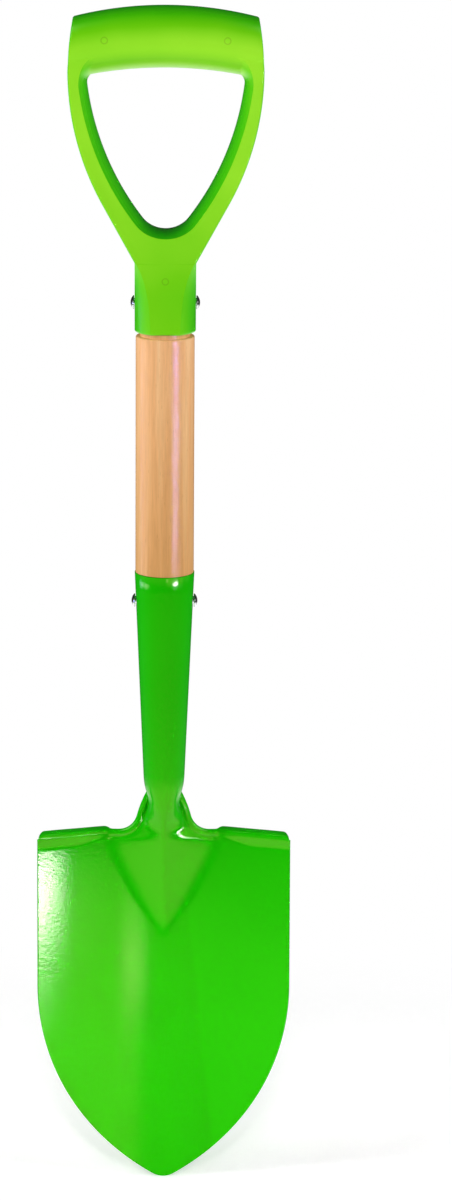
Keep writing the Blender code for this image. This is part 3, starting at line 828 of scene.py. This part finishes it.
# %% The front surface: pan, rim and frog
def rim(x, z):
    """The pressed edge stands forward: a slim bead and a groove along the lips, a wider step under the treads."""
    bead_from, bead_to, step_from = 0.3 * lip_run, 0.97 * tread_start, 0.95 * tread_start
    groove_width, slim = 1.2, 0.4
    centre_z = tread + flare_radius
    inner = neck_outline(tread_line, bend_radius)
    if x >= inner:
        inside = tread_line - z
    elif z > centre_z:
        inside = neck_outline(z, bend_radius) - x
    else:
        inside = hypot(x - inner, z - centre_z) - flare_radius - bend_radius
    start = smooth((neck + bead_from - z) / lip_run)
    bead = bead_rise * (1 - smooth(inside / bead_width))
    bead -= groove_depth * smooth(inside / bead_width) * (1 - smooth(inside / bead_width - groove_width))
    bead *= start * smooth((bead_to - x) / bead_width)
    out = smooth((x - step_from) / step_grows)
    step = step_rise * out * (1 - smooth(inside / mix(slim * step_height, step_height, out)))
    return bead + step


def setback(z):
    """How far the pan, and above it the lips, lie behind the middle of the socket."""
    return mix(pan_setback, lip_setback, smooth((z - tread) / (neck - tread)))


def pan(x, z):
    """Front surface of the pan: set back at the treads, dished across, bowed and lifted towards the point."""
    bow_ease = 0.006
    below = (tread - z + hypot(tread - z, bow_ease)) / 2
    return setback(z) - pan_lift * below - below ** 2 / (2 * pan_bow_radius) - x * x / (2 * dish_radius)


def tent(x, width):
    """1 at the crest and 0 past the foot, straight between, with both corners eased."""
    most_crest, most_foot = 0.25, 0.34
    share = x / width
    crest = min(most_crest, frog_crest_ease / width)
    foot = min(most_foot, frog_foot_ease / width)
    if share < crest:
        return 1 - crest / 2 - share ** 2 / (2 * crest)
    if share <= 1 - foot:
        return 1 - share
    return max(0.0, 1 + foot - share) ** 2 / (4 * foot)


def frog_height(z):
    """How far the raised centre stands forward of the pan."""
    soft_neck, soft_tip = 0.14, 0.06
    share = max(0.0, (z - frog_end) / (neck - frog_end))
    share = max(0.0, (share + 1 - hypot(share - 1, soft_neck)) / 2)
    return (neck_radius + setback(z)) * (1 + soft_tip) * share ** 2 / (share + soft_tip)


def front(x, z):
    """The whole pressed surface below the tread line, and the lips above it."""
    return pan(x, z) - rim(x, z) - frog_height(z) * tent(x, valley(z))


# %% Half sections of the sheet: pressed, rolled, and unrolling between them
half_steps = 56


def pressed_half(z):
    """Half section of the opened sheet at a height: a tent in the pan, more and more of an arch up to the neck."""
    widest_foot, round_by, fullness = 0.85, 0.8, 2.4
    last = lip_half_width(z)
    foot = min(valley(z), widest_foot * last)
    roundness = smooth((z - tread) / (round_by * (neck - tread)))
    crest_steps = half_steps // 2
    points = []
    for k in range(half_steps + 1):
        over = k / crest_steps
        arch_x = foot * sin(over * pi / 2) if over <= 1 else mix(foot, last, over - 1)
        x = mix(last * k / half_steps, arch_x, roundness)
        share = min(1.0, x / foot)
        arch_y = pan(x, z) - rim(x, z) - frog_height(z) * (1 - share ** fullness) ** (1 / fullness)
        points.append((x, mix(front(x, z), arch_y, roundness)))
    return points


def rolled_half(z):
    """Half section of the rolled socket, from its front to the seam behind."""
    radius = socket_radius(z)
    last = pi - seam_gap / 2 / radius
    turns = [last * k / half_steps for k in range(half_steps + 1)]
    return [(radius * sin(a), -radius * cos(a)) for a in turns]


def strip_half(z):
    """The centre strip's half section: the back unrolls from well above the neck, the front only at the neck."""
    if z >= neck + opening_out:
        return rolled_half(z)
    if z <= neck - front_opening:
        return pressed_half(z)
    front_part, blend = 0.5, 0.3
    back = smooth((neck + opening_out - z) / (front_opening + opening_out))
    front_share = smooth((neck + front_opening - z) / (2 * front_opening))
    shares = [mix(front_share, back, smooth((k / half_steps - front_part) / blend)) for k in range(half_steps + 1)]
    return [(mix(a, c, share), mix(b, d, share))
            for (a, b), (c, d), share in zip(rolled_half(z), pressed_half(z), shares)]


# %% Rows of the sheet and its turned edge
wing_steps = 48

# heights from the rim to the tread line, closer where the sheet unrolls
above = span(socket_rim, neck + opening_out, 10) + span(neck + opening_out, neck - front_opening, 48)
above += [mix(neck - front_opening, tread_line, sin(pi / 2 * k / 32)) for k in range(32)] + [tread_line]

# depths under the treads, and the heights from the tread line to the last one before the point
depths = span(bend_radius, blade_corner_radius, 4)[1:] + span(blade_corner_radius, step_height, 10)
depths += span(step_height, frog_length, 40) + span(frog_length, side_length, 14)
depths += [side_length + (blade_length - side_length) * sin(pi / 2 * k / 48) for k in range(48)]
below = [tread_line] + [tread - depth for depth in depths]


def path_normals(path):
    """Outward normals, in the XZ plane, of a path that runs from the neck to the blade's side."""
    steps = [(b[0] - a[0], b[2] - a[2]) for a, b in zip(path[:1] + path, path[1:] + path[-1:])]
    return [(-dz / hypot(dx, dz), dx / hypot(dx, dz)) for dx, dz in steps]


def turned_edge(path, bend_steps=8, straight_steps=5):
    """Rows of points that bend the sheet back along a path and carry it straight on. A level edge stays level."""
    level = 0.99
    rows = []
    for (x, y, z), (nx, nz) in zip(path, path_normals(path)):
        turn, straight = edge_turn(x, z)
        radius = min(bend_radius, max(0.0, corner_height(x) - tread_line))
        row = [(x, y, z)]
        for k in range(1, bend_steps + 1):
            a = turn * k / bend_steps
            out = radius * sin(a)
            up = min(tread, z + nz * out) if nz > level else z + nz * out
            row.append((x + nx * out, y + radius * (1 - cos(a)), up))
        x, y, z = row[-1]
        for k in range(1, straight_steps + 1):
            run = straight * k / straight_steps
            side = run * cos(turn)
            row.append((x + nx * side, y + run * sin(turn), z + nz * side))
        rows.append(row)
    return rows


# %% Build the sheet and give it its thickness
def sheet_patches():
    """Grids of points over the right half of the sheet: centre strip, wing and turned edge."""
    strip = [[(x, y, z) for x, y in strip_half(z)] for z in above + below[1:]]
    closer_outside = [k / wing_steps * (1.5 - 0.5 * k / wing_steps) for k in range(wing_steps + 1)]
    wing = []
    for z in below:
        xs = [mix(lip_half_width(z), pan_edge(z), share) for share in closer_outside]
        wing.append([(x, front(x, z), z) for x in xs])
    lip = [row[-1] for row, z in zip(strip, above) if z <= neck + lip_run]
    return strip, wing, turned_edge(lip + wing[0][1:])


def pressed_sheet():
    """Both halves of the sheet, welded, with faces looking forward."""
    work = bmesh.new()
    strip, wing, edge = sheet_patches()
    for mirror in (1, -1):
        for grid in (strip, wing, edge):
            rows = [[work.verts.new((mirror * x, y, z)) for x, y, z in row] for row in grid]
            for upper, lower in zip(rows, rows[1:]):
                for j in range(len(upper) - 1):
                    work.faces.new((upper[j], lower[j], lower[j + 1], upper[j + 1]))
        last = strip[-1] + wing[-1][1:]
        tip = work.verts.new((0.0, front(0.0, tread - blade_length), tread - blade_length))
        fan = [work.verts.new((mirror * x, y, z)) for x, y, z in last]
        for first, second in zip(fan, fan[1:]):
            work.faces.new((first, tip, second))
    bmesh.ops.remove_doubles(work, verts=work.verts, dist=1e-6)
    bmesh.ops.recalc_face_normals(work, faces=work.faces)
    lowest = min(work.faces, key=lambda face: face.calc_center_median().z)
    if lowest.normal.y > 0:
        bmesh.ops.reverse_faces(work, faces=work.faces)
    return piece_from("pressed_blade", work)


blade = pressed_sheet()
set_up(blade.modifiers.new("sheet thickness", "SOLIDIFY"), thickness=sheet, offset=-1.0, use_quality_normals=True)
set_up(blade.modifiers.new("coated edges", "BEVEL"), width=0.00035, segments=3, angle_limit=radians(50))
dress(shaded(settle(blade), 40), powder_coat)
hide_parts("blade")
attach(blade, "root")
print("blade triangles", triangles(blade))

# %% [markdown]
# ## The studio
# Product photographs of this kind are shot on a white sweep. The floor here is a disc that is white to the camera but
# still takes the soft shadow beside the point. Away from the spade it fades to plain white, so no edge shows. A
# little light of its own lifts the paper near the spade, because the real sweep is lit apart from the object.

# %% Floor
floor_radius = 0.95
work = bmesh.new()
bmesh.ops.create_circle(work, cap_ends=True, segments=96, radius=floor_radius)
bmesh.ops.translate(work, verts=work.verts, vec=(0.0, 0.0, point_z))
floor = piece_from("floor", work)
floor.visible_glossy = False

sweep, tree, shader, place = new_material("white_paper_sweep")
tree.nodes.remove(shader)
away = add(tree, "VectorMath MULTIPLY", _0=place, _1=(1.0, 1.0, 0.0))
distance = add(tree, "VectorMath LENGTH", _0=away)
near = add(tree, "MapRange", interpolation_type="SMOOTHSTEP", Value=(distance, "Value"), From_Min=0.10, From_Max=0.42,
           To_Min=1.0, To_Max=0.0)
paper = add(tree, "BsdfDiffuse", Color=colour("#F4F4F4"))
lift = add(tree, "Emission", Strength=0.31)
lit = add(tree, "AddShader", _0=paper, _1=lift)
plain = add(tree, "Emission", Strength=1.0)
seen = add(tree, "MixShader", Fac=near, _1=plain, _2=lit)
path = add(tree, "LightPath")
bounce = add(tree, "Emission", Strength=0.85)
shown = add(tree, "MixShader", Fac=(path, "Is Camera Ray"), _1=bounce, _2=seen)
set_up(tree.nodes["Material Output"], Surface=shown)
dress(floor, sweep)

# %% [markdown]
# ### What the gloss reflects
# Glossy paint shows the room, and most of what the eye reads as shape on the blade is that reflection. In the
# photograph the room is dark but for the white floor, a tall white card on the right, whose low end is very bright,
# and a few slim lights beside and above. Each is one line in a list: the angle it stands at, its half-width and the
# softness of its sides; its lowest and highest angle and the softness of both; its brightness and its tint. The
# strong ones are cool: the paint, the plastic and the lacquer take the blue out of what they reflect, which keeps dim
# reflections green, and a cool lamp makes up for it where the photograph shows plain white. Diffuse light takes a
# plainer world: more from the white floor than from the dark ceiling.

# %% World
world = bpy.data.worlds.new("studio")
bpy.context.scene.world = world
world.use_nodes = True
tree = world.node_tree
direction = add(tree, "SeparateXYZ", Vector=(add(tree, "TexCoord"), "Generated"))
to_front = add(tree, "Math MULTIPLY", _0=(direction, "Y"), _1=-1.0)
azimuth = add(tree, "Math ARCTAN2", _0=(direction, "X"), _1=to_front)
elevation = add(tree, "Math ARCSINE", _0=(direction, "Z"))

room_level = 0.03
white = (1.0, 1.0, 1.0)
cool = (1.0, 1.0, 2.4)
cold = (1.0, 1.0, 5.0)
cards = {
    "white floor": (0, 180, 1, -94, -29, 1, 13, 1.6, white),
    "room in front": (0, 100, 20, -5, 1, 7, 8, 0.5, white),
    "tall card on the right": (41, 31, 4, -8.0, 40, 1.5, 10, 0.9, white),
    "bright low end of the card": (43, 4.5, 10, -9.6, -8.7, 0.4, 2.1, 62.0, cold),
    "glow above it": (34, 6, 16, -8.8, -7.5, 0.8, 3.5, 1.2, cool),
    "edge light on the left": (-88, 16, 14, -12.6, -11.2, 1.6, 0.8, 5.0, cool),
    "edge light on the right": (64, 7, 8, -11.4, -10.8, 1.4, 0.4, 1.2, cool),
    "gap light": (9.5, 2.0, 3.0, -5.0, -3.9, 1.6, 1.4, 5.0, cool),
    "high lamp on the left": (-80, 18, 12, 34, 62, 10, 10, 3.0, cool),
    "high lamp on the right": (80, 18, 12, 34, 62, 10, 10, 2.5, cool),
}

# three soft edges, each between two angles in degrees, are multiplied to the shape of a field
reflected = (room_level,) * 3
for name, (az, half, soft, low, high, soft_low, soft_high, level, tint) in cards.items():
    off = add(tree, "Math SUBTRACT", _0=azimuth, _1=radians(az))
    away = add(tree, "Math ABSOLUTE", _0=off)
    edges = []
    for value, start, end, before, after in (
            (away, half, half + soft, level, 0.0),
            (elevation, low - soft_low, low, 0.0, 1.0),
            (elevation, high, high + soft_high, 1.0, 0.0)):
        edges.append(add(tree, "MapRange", interpolation_type="SMOOTHSTEP", Value=value, From_Min=radians(start),
                         From_Max=radians(end), To_Min=before, To_Max=after))
    shape = edges.pop()
    while edges:
        shape = add(tree, "Math MULTIPLY", _0=edges.pop(), _1=shape)
    card = add(tree, "VectorMath SCALE", label=name, _0=tint, Scale=shape)
    reflected = add(tree, "VectorMath ADD", _0=card, _1=reflected)

path = add(tree, "LightPath")
ambient = add(tree, "MapRange", Value=(direction, "Z"), From_Min=-0.7, From_Max=0.8, To_Min=0.95, To_Max=0.22)
soft_or_sharp = add(tree, "Mix", data_type="RGBA", Factor=(path, "Is Glossy Ray"), _6=ambient, _7=reflected)
around = add(tree, "Mix", data_type="RGBA", Factor=(path, "Is Camera Ray"), _6=(soft_or_sharp, 2), _7=(1, 1, 1, 1))
set_up(tree.nodes["Background"], Color=(around, 2), Strength=1.0)
print("the world reflects", len(cards), "bright fields")


# %% [markdown]
# ### Lamps
# Two large soft boxes light the spade evenly from the sides and in front. A narrow strip with a grid, which holds its
# light to a few degrees, hangs in front of the camera and lights the lower blade alone, as the photograph shows it
# brighter than the socket. None of them is seen in the gloss: that belongs to the fields above.

# %% Lamps
def softbox(name, place, target, size, power, grid=180):
    """An area lamp that looks at a point. It gives diffuse light only: reflections come from the world."""
    data = set_up(bpy.data.lights.new(name, "AREA"), shape="RECTANGLE", size=size[0], size_y=size[1], energy=power,
                  spread=radians(grid))
    turn = (Vector(target) - Vector(place)).to_track_quat("-Z", "Y").to_euler()
    set_up(new_piece(name, data), location=place, rotation_euler=turn, visible_camera=False, visible_glossy=False)


softbox("left softbox", (-1.15, -0.42, 0.30), (0.0, 0.0, -0.30), (0.6, 0.6), 10.0)
softbox("right softbox", (1.15, -0.42, 0.30), (0.0, 0.0, -0.30), (0.6, 0.6), 7.0)
softbox("gridded strip for the blade", (0.0, -1.40, 0.36), (0.0, 0.0, -0.60), (0.6, 0.06), 0.165, grid=12)

# %% View settings
bpy.context.scene.view_settings.view_transform = "Standard"
